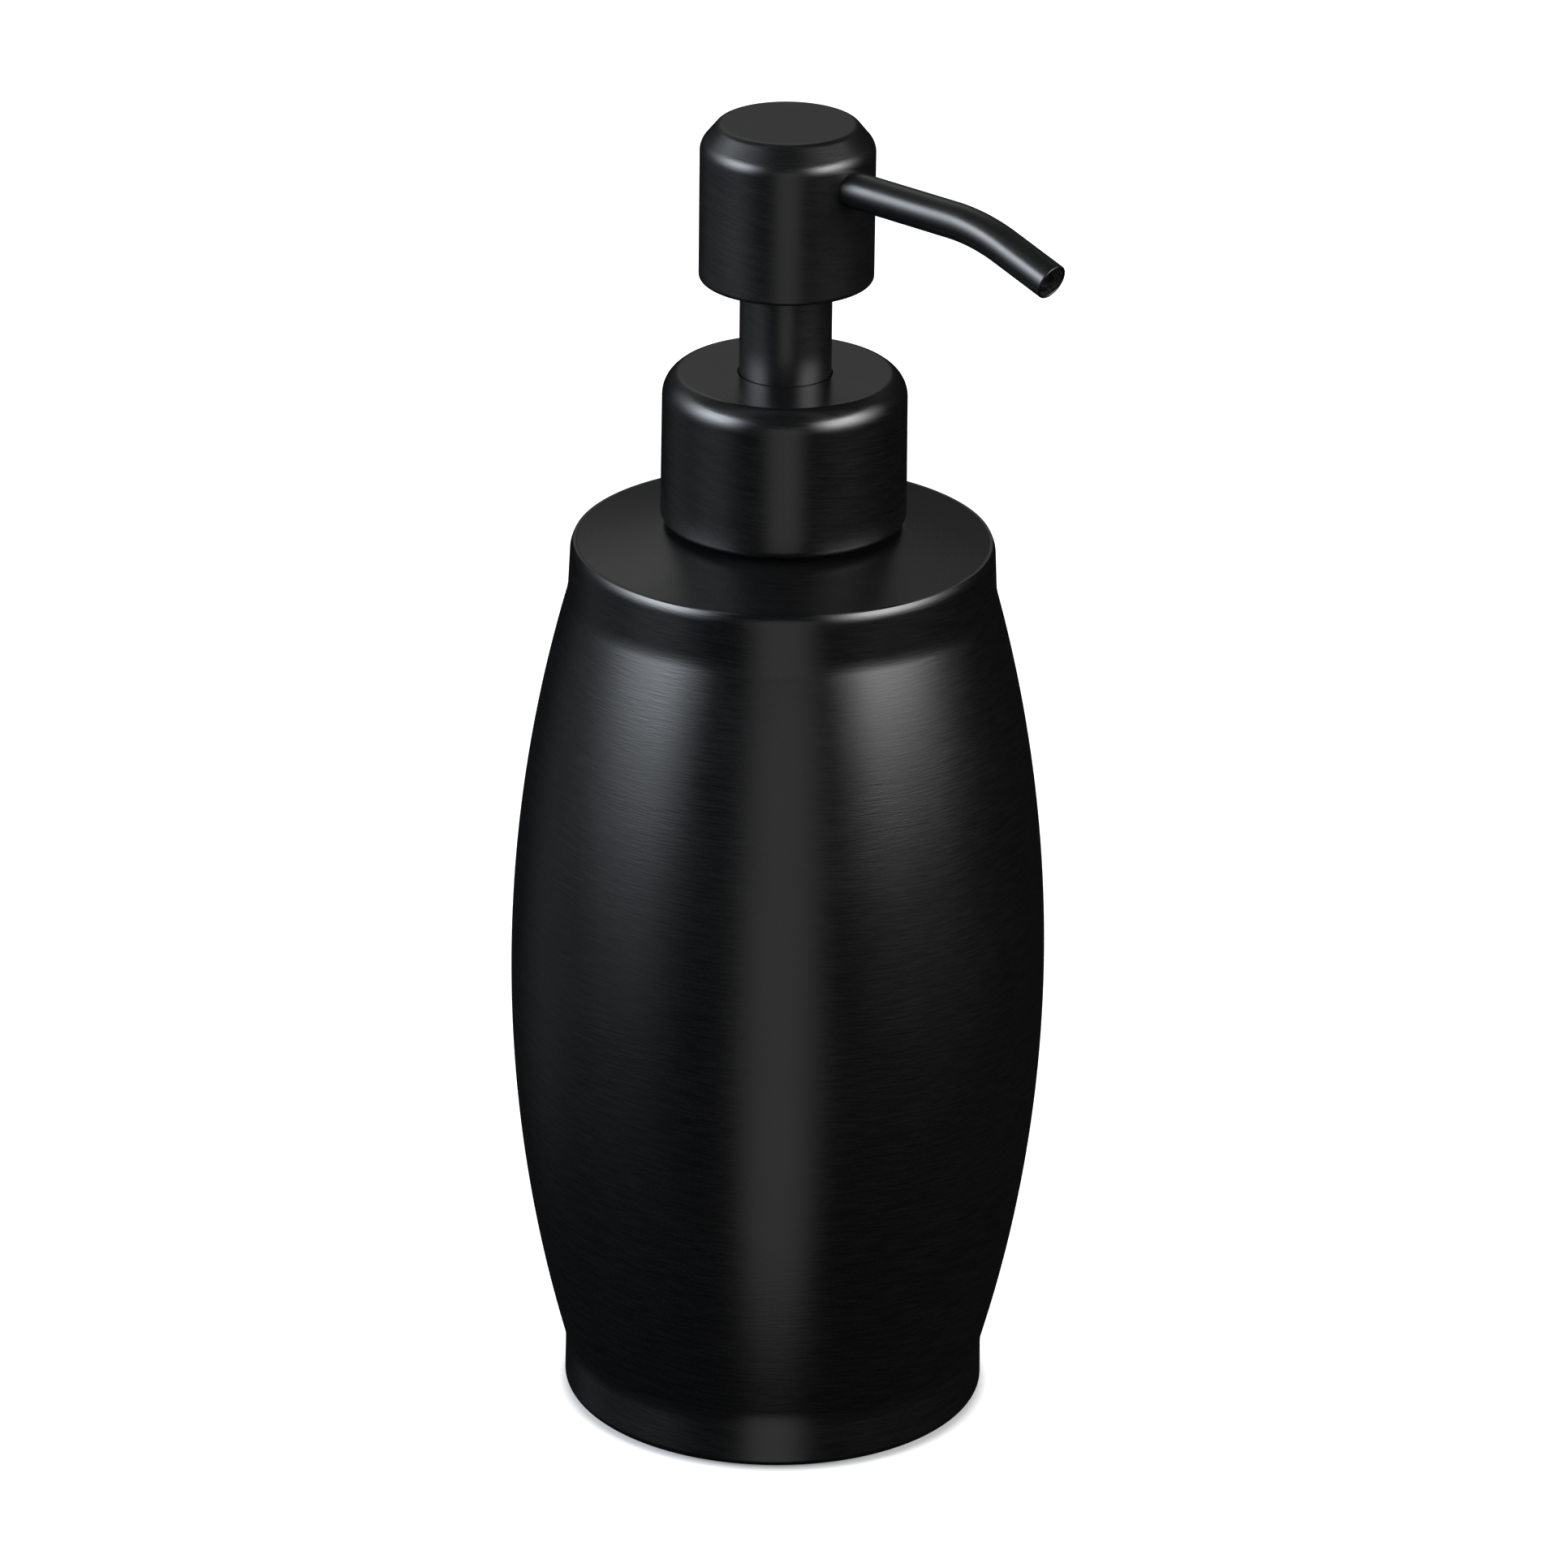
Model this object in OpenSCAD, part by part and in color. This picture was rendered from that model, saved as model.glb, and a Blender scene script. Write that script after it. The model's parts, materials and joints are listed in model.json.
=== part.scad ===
// Soap pump dispenser: a barrel-shaped sheet steel bottle with a screw-on lotion pump.
// Millimetres, +Z up. The origin is the centre of the base on the rest plane, the pump's axis is Z
// and the spout points along +X.

/* [Bottle] */
// Largest outside radius of the barrel
body_r = 35.5; // [34:0.5:38]
// Outside radius at the creases above and below the barrel
crease_r = 28.1; // [28:0.1:29]
// Height of the rim of the top
body_h = 122; // [116:1:130]
// Rise of the top plate from its rim to its flat middle
plate_rise = 2.4; // [1.5:0.1:3]
// Height of the straight band at each end of the barrel
band_h = 7; // [5:0.5:9]
// Thickness of the bottle's sheet steel
sheet = 0.8; // [0.6:0.1:1]
// Outside radius of the plain neck
neck_r = 12.5; // [12.4:0.1:12.6]

/* [Collar] */
// Outside radius of the collar at its foot
collar_r = 16.1; // [16:0.1:17]
// Height of the collar
collar_h = 20.6; // [20:0.1:22]
// Gap between the top plate and the collar
collar_gap = 0.8; // [0.6:0.1:1.5]
// Thickness of the sheet steel of the collar and the head
cover_sheet = 0.65; // [0.5:0.05:0.7]

/* [Head] */
// Outside radius of the head
head_r = 11.35; // [11:0.05:12.5]
// Height of the head
head_h = 21; // [20:0.5:23]
// Width of the head's bevel, measured along the radius
bevel_w = 2.35; // [2:0.05:3]
// Height of the head's bevel
bevel_h = 2.85; // [2.5:0.05:4]
// Outside radius of the sleeve between the collar and the head
sleeve_r = 6; // [5.9:0.05:6.1]
// Length of sleeve that shows between the collar and the head
sleeve_show = 12.4; // [12:0.1:14]

/* [Spout] */
// Outside radius of the spout tube
spout_r = 2.4; // [2.2:0.1:2.5]
// Wall thickness of the spout tube
spout_wall = 0.4; // [0.3:0.05:0.5]
// Distance from the pump's axis to the start of the bend
spout_run = 28.2; // [24:0.2:34]
// Radius of the bend
bend_r = 26.6; // [20:0.2:35]
// Angle of the bend
bend_angle = 19.25; // [10:0.25:35]
// Straight length after the bend
tip_run = 8.4; // [6:0.2:12]

/* [Pump] */
// Travel of the head
stroke = 11; // [9:0.5:11]
// Pitch of the neck's thread
pitch = 4.23; // [4:0.01:4.5]
// Bore radius of the pump's chamber
chamber_r = 6; // [5.9:0.1:6.2]
// Wire diameter of the return spring
wire_d = 0.8; // [0.6:0.1:0.9]
// Height of the dip tube's lower end above the rest plane
tube_z = 6; // [5:0.5:12]

/* [Hidden] */

// Smoothness
TURN_FN = 120;      // facets of a full turn
TUBE_FN = 48;       // facets around the spout tube
BARREL_STEPS = 36;  // points along the barrel's arc
CORNER_STEPS = 5;   // points along a rounded corner
THREAD_STEPS = 40;  // rings of a thread in one turn
COIL_STEPS = 16;    // rings of the spring in one turn
EPS = 0.01;         // overlap that keeps a cut clean

// Clearances
running = 0.08;     // radial clearance of a sliding fit
touch = 0.05;       // gap between faces that only rest on each other

// Bottle
pad_stand = 0.4;                              // height of the shell's edge above the rest plane
pad_r = crease_r - 3.3;
lip_r = crease_r - 2.9;                       // inner edge of the shell's turned-in foot
foot_r = crease_r + 0.1;
foot_round = 1.1;
rim_r = crease_r - 0.3;
rim_round = 3;                                // the shell's eased upper edge
rim_ease_w = 0.37;                            // width and height of that edge before rounding
rim_ease_h = 0.7;
crease_round = 10;
plate_z = body_h + plate_rise;                // flat middle of the top plate
plate_flat_r = 15.7;                          // radius of that flat middle
barrel_z0 = pad_stand + band_h;
barrel_z1 = body_h - band_h;
barrel_mid = (barrel_z0 + barrel_z1) / 2;
barrel_rise = (barrel_z1 - barrel_z0) / 2;
barrel_bulge = body_r - crease_r;
barrel_arc_r = (barrel_rise * barrel_rise + barrel_bulge * barrel_bulge) / (2 * barrel_bulge);
barrel_arc_half = asin(barrel_rise / barrel_arc_r);
plate_skirt = 4;                              // depth of the top plate's turned-down edge
pan_rise = 3;                                 // height of the base pan's turned-up edge
neck_bore_r = 9.8;
neck_flange_r = plate_flat_r - 0.5;
neck_flange_h = 1;

// Collar, counted down from its top
collar_z = plate_z + collar_gap;
deck_z = collar_z + collar_h;
collar_top_r = collar_r - 0.15;
collar_round = 3.75;                          // rounding of the collar's top corner
collar_foot_round = 1.1;
collar_lip_r = neck_r + 2.1;                  // inner edge of the collar's turned-in foot
closure_r = collar_top_r - cover_sheet - touch;
closure_bore_r = closure_r - 1.15;
closure_top_z = deck_z - cover_sheet;
lid = 1.3;                                    // thickness of the closure's top
lid_z = closure_top_z - lid;
bush_r = sleeve_r + 1.6;
collar_hole_r = sleeve_r + 0.12;

// Thread of the neck and the closure
thread_rise = 4.8;                            // height of the neck's ridge above the collar's foot
thread_z = collar_z + thread_rise;
thread_depth = 1.1;
thread_turns = 1.75;
thread_root = 1.5;                            // half the ridge's height at its root
thread_crest = 0.65;                          // half the ridge's height at its crest
thread_sunk = 0.5;                            // depth of the ridge's root inside the wall
thread_fade = 8;                              // rings over which each end rises to full depth
thread_stub = 0.15;                           // part of the depth at the very end

// Pump unit, counted down from the closure's lid
guide_rim_z = lid_z - touch;
guide_rim = 1;
flange_z = guide_rim_z - guide_rim;           // top of the housing's flange
flange_h = 1.5;
gasket_z = flange_z - flange_h;               // top of the gasket
gasket_h = 1;
neck_z = gasket_z - gasket_h - touch;         // rim of the neck
flange_r = neck_r + 0.1;
cup_r = chamber_r + 1.2;                      // bore of the housing's upper cup
cup_wall = 1.2;
stem_r = 4;
guide_bore_r = stem_r + running;
sleeve_dip = 1.1;                             // length of sleeve inside the collar at rest
sleeve_z = deck_z - sleeve_dip;
press_gap = 0.4;                              // gap under the sleeve when the head is down
guide_top_z = sleeve_z - stroke - press_gap;
guide_h = 5.6;
guide_z = guide_top_z - guide_h;              // foot of the stem guide, on the cup's floor
chamber_h = 36.65;
chamber_z = guide_z - chamber_h;              // floor of the chamber
cage_r = 3.3;
ball_r = 2.4;
seat_r = 1.5;
cage_h = 4.8;                                 // straight depth of the ball's cage
cage_z = chamber_z - cage_h;
seat_z = cage_z - (cage_r - seat_r);
seat_land = 1;                                // straight length under the seat
socket_z = seat_z - seat_land;
socket_h = 10.4;
tube_r = 3;
tube_wall = 0.8;
retainer_h = 1.2;
ball_z = cage_z - cage_r + ball_r * sqrt(2) + touch;

// Stem, counted down from the guide
stem_bore_r = 2.2;
stop_r = chamber_r - 1;
stop_top_z = guide_z - touch;                 // the stop ring rests under the guide
stop_h = 1.2;
stop_z = stop_top_z - stop_h;
slim_r = 2.8;                                 // stem inside the piston
slim_bore_r = 1.8;
piston_h = 6.05;
piston_play = 1.2;
piston_z = stop_z - 0.1 - piston_play - piston_h;
plug_top_z = piston_z - touch;
plug_h = 1.5;
plug_z = plug_top_z - plug_h;
spring_r = 4.1;                               // mean radius of the coils
spring_z = chamber_z + retainer_h + touch;
spring_top_z = plug_z - touch;
spring_turns = 9;

// Head
head_z = deck_z + sleeve_show;
head_top_z = head_z + head_h;
core_z = head_z + 0.7;
core_top_z = head_top_z - cover_sheet - touch;
core_r = head_r - cover_sheet;
hub_r = 7.6;
bevel_foot_round = 2.6;
bevel_top_round = 1.2;
sleeve_grip = 6;                              // length of sleeve inside the core
sleeve_top_z = core_z + sleeve_grip;
stem_grip = 4;                                // length of stem inside the core, above the sleeve
stem_top_z = sleeve_top_z + stem_grip;
spout_drop = 6.3;                             // depth of the spout's axis under the head's top
spout_z = head_top_z - spout_drop;
duct_r = spout_r - spout_wall;
spout_in = 2;                                 // the tube's inner end, inside the core

function xz(p) = [p[0], p[1]];
function unit(v) = v / norm(v);

// Points of an arc about [cx, cz], from angle a0 to a1
function arc(cx, cz, r, a0, a1, steps) =
    [for (i = [0:steps]) let (a = a0 + (a1 - a0) * i / steps) [cx + r * cos(a), cz + r * sin(a)]];

// A corner of an outline: the point itself, or an arc of radius r that touches both sides
function corner(before, at, after, r) =
    r == 0 ? [at] :
    let (u = unit(before - at), v = unit(after - at), half = acos(u * v) / 2)
    let (centre = at + unit(u + v) * r / sin(half), start = at + u * r / tan(half) - centre)
    let (a0 = atan2(start[1], start[0]), turn = (180 - 2 * half) * (cross(u, v) < 0 ? 1 : -1))
    arc(centre[0], centre[1], r, a0, a0 + turn, CORNER_STEPS);

// An outline of [x, z] points, where a third number rounds that corner
function rounded(points) =
    let (n = len(points))
    [for (i = [0:n - 1]) each corner(xz(points[(i + n - 1) % n]), xz(points[i]),
        xz(points[(i + 1) % n]), len(points[i]) > 2 ? points[i][2] : 0)];

// A turned piece from its half outline
module turned(points) {
    rotate_extrude($fn = TURN_FN) polygon(rounded(points));
}

// A round rod or hole along +X from x0 to x1
module rod_x(r, x0, x1, z) {
    translate([x0, 0, z]) rotate([0, 90, 0]) cylinder(r = r, h = x1 - x0, $fn = TURN_FN);
}

// A solid through a row of rings that all have the same number of points
module swept(rings) {
    n = len(rings[0]);
    last = len(rings) - 1;
    sides = [for (i = [0:last - 1], j = [0:n - 1]) let (k = (j + 1) % n)
        each [[i * n + j, i * n + k, (i + 1) * n + k], [i * n + j, (i + 1) * n + k, (i + 1) * n + j]]];
    ends = [[for (j = [n - 1:-1:0]) j], [for (j = [0:n - 1]) last * n + j]];
    polyhedron([for (ring = rings) each ring], concat(sides, ends), convexity = 10);
}

// One ring of points in the half plane at angle a
function ring_at(a, section) = [for (p = section) [p[0] * cos(a), p[0] * sin(a), p[1]]];

// A thread ridge on a wall of radius wall_r: outward for side = 1, inward for side = -1.
// Its root is sunk into the wall, and the ridge sinks away at both ends.
module thread(wall_r, side, z0) {
    root = wall_r - side * thread_sunk;
    reach = side * (thread_depth + thread_sunk);
    steps = THREAD_STEPS * thread_turns;
    swept([for (i = [0:steps])
        let (fade = min(1, thread_stub + i / thread_fade, thread_stub + (steps - i) / thread_fade))
        let (tip = root + reach * fade, z = z0 + pitch * i / THREAD_STEPS)
        let (section = [[root, z - thread_root], [tip, z - thread_crest],
            [tip, z + thread_crest], [root, z + thread_root]])
        ring_at(360 * i / THREAD_STEPS, side > 0 ? section : [for (k = [3:-1:0]) section[k]])]);
}

// The barrel's side, a single arc, moved inwards by inset
function barrel_side(inset) =
    arc(body_r - barrel_arc_r, barrel_mid, barrel_arc_r - inset, -barrel_arc_half, barrel_arc_half,
        BARREL_STEPS);

// The barrel's side with a rounded crease at each end
function creased(side) =
    [for (i = [0:len(side) - 1])
        i == 0 || i == len(side) - 1 ? concat(side[i], [crease_round]) : side[i]];

function reversed(list) = [for (i = [len(list) - 1:-1:0]) list[i]];

module body_shell() {
    outer = concat([[lip_r, pad_stand, 0.3], [foot_r, pad_stand, foot_round]],
        creased(barrel_side(0)),
        [[rim_r, body_h - rim_ease_h, rim_round], [rim_r - rim_ease_w, body_h]]);
    inner = concat([[rim_r - sheet, body_h]], reversed(barrel_side(sheet)),
        [[foot_r - sheet, pad_stand + sheet, foot_round - sheet], [lip_r, pad_stand + sheet]]);
    color([0.11, 0.11, 0.12]) turned(concat(outer, inner));
}

module top_plate() {
    edge_r = rim_r - sheet - touch;
    skirt_z = body_h - plate_skirt;
    color([0.12, 0.12, 0.13]) turned([
        [neck_r, plate_z - sheet],
        [plate_flat_r, plate_z - sheet, 3],
        [edge_r - sheet, body_h - sheet, 0.4],
        [edge_r - sheet, skirt_z],
        [edge_r, skirt_z],
        [edge_r, body_h],
        [plate_flat_r, plate_z, 3],
        [neck_r, plate_z]
    ]);
}

module neck_ferrule() {
    flange_top_z = plate_z - sheet;
    color([0.08, 0.08, 0.08]) union() {
        turned([
            [neck_bore_r, flange_top_z - neck_flange_h],
            [neck_flange_r, flange_top_z - neck_flange_h],
            [neck_flange_r, flange_top_z],
            [neck_r, flange_top_z],
            [neck_r, neck_z, 0.6],
            [neck_bore_r, neck_z, 0.4]
        ]);
        thread(neck_r, 1, thread_z);
    }
}

module base_plate() {
    pan_z = pad_stand + sheet;
    pan_r = foot_r - sheet - 0.1;
    color([0.30, 0.30, 0.31]) turned([
        [0, pan_z],
        [pan_r, pan_z, 0.5],
        [pan_r, pan_z + pan_rise],
        [pan_r - sheet, pan_z + pan_rise],
        [pan_r - sheet, pan_z + sheet, 0.6],
        [0, pan_z + sheet]
    ]);
}

module base_pad() {
    color([0.10, 0.10, 0.10]) turned([
        [0, 0],
        [pad_r, 0, 0.3],
        [pad_r, pad_stand + sheet],
        [0, pad_stand + sheet]
    ]);
}

module neck_gasket() {
    color([0.85, 0.85, 0.82]) turned([
        [cup_r + cup_wall + 0.2, gasket_z - gasket_h],
        [neck_r - 0.1, gasket_z - gasket_h],
        [neck_r - 0.1, gasket_z],
        [cup_r + cup_wall + 0.2, gasket_z]
    ]);
}

module pump_housing() {
    chamber_wall = 1.2;
    cage_wall = 1.7;
    socket_wall = 1.3;
    vent_r = 0.5;
    vent_z = piston_z + piston_h / 2;
    color([0.88, 0.88, 0.86]) difference() {
        turned([
            [tube_r, socket_z - socket_h],
            [tube_r + socket_wall, socket_z - socket_h, 0.4],
            [tube_r + socket_wall, seat_z - 0.4],
            [cage_r + cage_wall, seat_z + 0.6],
            [cage_r + cage_wall, chamber_z - 1.7],
            [chamber_r + chamber_wall, chamber_z - 0.9],
            [chamber_r + chamber_wall, guide_z - 1.2],
            [cup_r + cup_wall, guide_z - 0.2],
            [cup_r + cup_wall, gasket_z],
            [flange_r, gasket_z],
            [flange_r, flange_z],
            [cup_r, flange_z],
            [cup_r, guide_z],
            [chamber_r, guide_z],
            [chamber_r, chamber_z],
            [cage_r, chamber_z],
            [cage_r, cage_z],
            [seat_r, seat_z],
            [seat_r, socket_z],
            [tube_r, socket_z]
        ]);
        rod_x(vent_r, chamber_r - 0.5, chamber_r + chamber_wall + 0.5, vent_z);
    }
}

module stem_guide() {
    inner_r = sleeve_r + 0.45;
    color([0.90, 0.90, 0.88]) turned([
        [guide_bore_r, guide_z],
        [cup_r, guide_z, 0.3],
        [cup_r, flange_z],
        [flange_r - 1, flange_z],
        [flange_r - 1, guide_rim_z, 0.3],
        [inner_r, guide_rim_z],
        [inner_r, guide_top_z],
        [guide_bore_r, guide_top_z]
    ]);
}

module ball_retainer() {
    slot_w = 1.2;
    hole_r = 1.7;
    color([0.82, 0.83, 0.80]) difference() {
        turned([
            [hole_r, chamber_z],
            [chamber_r, chamber_z],
            [chamber_r, chamber_z + retainer_h],
            [hole_r, chamber_z + retainer_h]
        ]);
        for (a = [0:120:240])
            rotate([0, 0, a]) translate([0, -slot_w / 2, chamber_z - EPS])
                cube([cage_r - 0.2, slot_w, retainer_h + 2 * EPS]);
    }
}

module dip_tube() {
    cut_angle = 30;
    color([0.86, 0.88, 0.88]) difference() {
        turned([
            [tube_r - tube_wall, tube_z],
            [tube_r, tube_z],
            [tube_r, socket_z - 0.1],
            [tube_r - tube_wall, socket_z - 0.1]
        ]);
        translate([-tube_r, 0, tube_z]) rotate([0, -cut_angle, 0])
            translate([-tube_r, -2 * tube_r, -4 * tube_r])
                cube([6 * tube_r, 4 * tube_r, 4 * tube_r]);
    }
}

module inlet_ball() {
    color([0.75, 0.76, 0.78]) translate([0, 0, ball_z]) sphere(r = ball_r, $fn = 48);
}

// Height of the spring's wire, in turns from its foot: a closed coil at each end
function coil_z(t) =
    let (low = spring_z + wire_d / 2, high = spring_top_z - wire_d / 2)
    t < 1 ? low + wire_d * 0.5 * t :
    t > spring_turns - 1 ? high - wire_d * 0.5 * (spring_turns - t) :
    low + wire_d * 0.5 + (high - low - wire_d) * (t - 1) / (spring_turns - 2);

module return_spring() {
    wire_r = wire_d / 2 - 0.02;
    steps = COIL_STEPS * spring_turns;
    color([0.70, 0.71, 0.73]) swept([for (i = [0:steps])
        let (z = coil_z(i / COIL_STEPS))
        ring_at(360 * i / COIL_STEPS,
            [for (a = [30:60:330]) [spring_r + wire_r * cos(a), z + wire_r * sin(a)]])]);
}

module piston() {
    lip_out = chamber_r - 0.06;
    lip_in = lip_out - 0.55;
    lip_h = 0.7;
    bore = slim_r + 0.06;
    tube_out = bore + 1.1;
    waist_out = lip_out - 0.65;
    waist_in = lip_out - 1.15;
    groove = 1.7;
    top = piston_z + piston_h;
    color([0.93, 0.93, 0.90]) turned([
        [bore, piston_z],
        [tube_out, piston_z],
        [tube_out, piston_z + groove],
        [waist_in, piston_z + groove],
        [lip_in, piston_z],
        [lip_out, piston_z],
        [lip_out, piston_z + lip_h],
        [waist_out, piston_z + groove],
        [waist_out, top - groove],
        [lip_out, top - lip_h],
        [lip_out, top],
        [lip_in, top],
        [waist_in, top - groove],
        [tube_out, top - groove],
        [tube_out, top],
        [bore, top]
    ]);
}

module stem_plug() {
    disc_r = 4.4;
    spigot_r = spring_r - wire_d / 2 - 0.3;
    spigot_h = 2;
    shank_h = 5;
    groove = 0.9;
    color([0.86, 0.86, 0.84]) difference() {
        turned([
            [0, plug_z - spigot_h],
            [spigot_r, plug_z - spigot_h, 0.4],
            [spigot_r, plug_z],
            [disc_r, plug_z],
            [disc_r, plug_top_z],
            [slim_bore_r, plug_top_z],
            [slim_bore_r, plug_top_z + shank_h],
            [0, plug_top_z + shank_h]
        ]);
        for (a = [0:90:270])
            rotate([0, 0, a]) translate([slim_bore_r - groove, -groove / 2, plug_top_z])
                cube([groove + EPS, groove, shank_h + EPS]);
    }
}

module pump_stem() {
    notch = 1.1;
    color([0.90, 0.90, 0.88]) difference() {
        turned([
            [slim_bore_r, plug_top_z],
            [slim_r, plug_top_z],
            [slim_r, stop_z],
            [stop_r, stop_z],
            [stop_r, stop_top_z],
            [stem_r, stop_top_z],
            [stem_r, stem_top_z],
            [stem_bore_r, stem_top_z],
            [stem_bore_r, stop_top_z],
            [slim_bore_r, stop_z]
        ]);
        for (a = [0:90:270])
            rotate([0, 0, a]) translate([0, -notch / 2, plug_top_z - EPS])
                cube([slim_r + EPS, notch, notch + EPS]);
    }
}

module stem_sleeve() {
    wall = 0.5;
    color([0.13, 0.13, 0.14]) turned([
        [sleeve_r - wall, sleeve_z],
        [sleeve_r, sleeve_z, 0.2],
        [sleeve_r, sleeve_top_z],
        [sleeve_r - wall, sleeve_top_z]
    ]);
}

module actuator_core() {
    base_h = 1.5;
    rib_w = 1.2;
    ribs = 6;
    rib_top_z = head_top_z - bevel_h - 1.5;
    color([0.10, 0.10, 0.10]) difference() {
        union() {
            translate([0, 0, core_z]) cylinder(r = core_r, h = base_h, $fn = TURN_FN);
            translate([0, 0, core_z]) cylinder(r = hub_r, h = core_top_z - core_z, $fn = TURN_FN);
            for (i = [0:ribs - 1])
                rotate([0, 0, (i + 0.5) * 360 / ribs])
                    translate([0, -rib_w / 2, core_z + base_h - EPS])
                        cube([core_r - 0.1, rib_w, rib_top_z - core_z - base_h]);
        }
        translate([0, 0, core_z - EPS])
            cylinder(r = sleeve_r, h = sleeve_top_z - core_z + EPS, $fn = TURN_FN);
        translate([0, 0, core_z]) cylinder(r = stem_r, h = stem_top_z - core_z, $fn = TURN_FN);
        translate([0, 0, core_z]) cylinder(r = stem_bore_r, h = spout_z + 1 - core_z, $fn = TURN_FN);
        rod_x(duct_r, 0, spout_in + EPS, spout_z);
        rod_x(spout_r, spout_in, head_r, spout_z);
    }
}

module head_shell() {
    bevel_z = head_top_z - bevel_h;
    inner_r = head_r - cover_sheet;
    inset = cover_sheet * 0.45;
    color([0.12, 0.12, 0.13]) difference() {
        turned([
            [inner_r, head_z],
            [head_r, head_z, cover_sheet - 0.05],
            [head_r, bevel_z, bevel_foot_round],
            [head_r - bevel_w, head_top_z, bevel_top_round],
            [0, head_top_z],
            [0, head_top_z - cover_sheet],
            [head_r - bevel_w - inset, head_top_z - cover_sheet, bevel_top_round - cover_sheet],
            [inner_r, bevel_z - inset, bevel_foot_round - cover_sheet]
        ]);
        rod_x(spout_r + 0.05, head_r / 2, head_r + 1, spout_z);
    }
}

// The cross-section of the spout tube, made thinner by trim on both sides of its wall
module spout_ring(trim) {
    difference() {
        circle(r = spout_r - trim, $fn = TUBE_FN);
        circle(r = duct_r + trim, $fn = TUBE_FN);
    }
}

// The bend is a hair thinner than the straight lengths and runs a hair into both
module spout_tube() {
    lap = 0.05;
    bend_x = spout_run + bend_r * sin(bend_angle);
    bend_z = spout_z - bend_r * (1 - cos(bend_angle));
    color([0.12, 0.12, 0.13]) union() {
        translate([spout_in, 0, spout_z]) rotate([0, 90, 0])
            linear_extrude(spout_run - spout_in) spout_ring(0);
        translate([spout_run, 0, spout_z - bend_r]) rotate([90, bend_angle + lap - 90, 0])
            rotate_extrude(angle = bend_angle + 2 * lap, $fn = 240)
                translate([bend_r, 0]) spout_ring(EPS);
        translate([bend_x, 0, bend_z]) rotate([0, 90 + bend_angle, 0])
            linear_extrude(tip_run) spout_ring(0);
    }
}

module guide_bush() {
    color([0.10, 0.10, 0.10]) turned([
        [sleeve_r + running, lid_z + touch],
        [bush_r, lid_z + touch],
        [bush_r, closure_top_z],
        [sleeve_r + running, closure_top_z, 0.2]
    ]);
}

module threaded_closure() {
    foot_z = collar_z + cover_sheet;
    color([0.90, 0.90, 0.88]) union() {
        turned([
            [closure_bore_r, foot_z],
            [closure_r, foot_z],
            [closure_r, closure_top_z, collar_round - cover_sheet + touch],
            [bush_r, closure_top_z],
            [bush_r, lid_z],
            [closure_bore_r, lid_z]
        ]);
        thread(closure_bore_r, -1, thread_z - pitch / 2);
    }
}

module collar_shell() {
    inner_top_r = collar_top_r - cover_sheet;
    color([0.12, 0.12, 0.13]) turned([
        [collar_lip_r, collar_z],
        [collar_r, collar_z, collar_foot_round],
        [collar_top_r, deck_z, collar_round],
        [collar_hole_r, deck_z, 0.15],
        [collar_hole_r, closure_top_z],
        [inner_top_r, closure_top_z, collar_round - cover_sheet],
        [collar_r - cover_sheet, collar_z + cover_sheet, collar_foot_round - cover_sheet],
        [collar_lip_r, collar_z + cover_sheet]
    ]);
}

body_shell();
top_plate();
neck_ferrule();
base_plate();
base_pad();
neck_gasket();
pump_housing();
stem_guide();
ball_retainer();
dip_tube();
inlet_ball();
return_spring();
piston();
stem_plug();
pump_stem();
stem_sleeve();
actuator_core();
head_shell();
spout_tube();
guide_bush();
threaded_closure();
collar_shell();
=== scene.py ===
"""The looks of a soap pump dispenser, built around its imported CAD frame. Metres, +Z up."""
import json
import math

import bmesh
import bpy
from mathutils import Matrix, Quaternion, Vector


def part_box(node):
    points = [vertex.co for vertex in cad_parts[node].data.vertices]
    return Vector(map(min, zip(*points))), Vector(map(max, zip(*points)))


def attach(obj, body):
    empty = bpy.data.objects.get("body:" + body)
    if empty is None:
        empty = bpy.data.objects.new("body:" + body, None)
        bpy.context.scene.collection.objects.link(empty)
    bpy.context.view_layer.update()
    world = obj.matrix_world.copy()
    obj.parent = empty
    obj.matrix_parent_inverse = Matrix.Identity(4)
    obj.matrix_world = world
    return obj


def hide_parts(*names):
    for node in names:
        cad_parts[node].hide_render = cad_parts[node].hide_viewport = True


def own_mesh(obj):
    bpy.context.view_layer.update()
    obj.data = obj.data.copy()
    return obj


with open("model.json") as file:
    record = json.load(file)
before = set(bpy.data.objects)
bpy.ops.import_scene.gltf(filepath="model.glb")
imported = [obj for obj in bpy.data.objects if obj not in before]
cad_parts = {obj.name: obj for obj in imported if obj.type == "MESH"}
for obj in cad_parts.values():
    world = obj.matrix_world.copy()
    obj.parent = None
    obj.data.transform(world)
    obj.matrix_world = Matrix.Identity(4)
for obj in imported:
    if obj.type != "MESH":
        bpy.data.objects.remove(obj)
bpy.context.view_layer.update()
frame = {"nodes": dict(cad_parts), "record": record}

MM = 0.001
TURNS = 288          # facets of a full turn
CORNER_STEPS = 10    # facets of a rounded corner
GUARD = 0.04         # millimetres between a rounded corner and the loop that keeps its side flat

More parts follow.
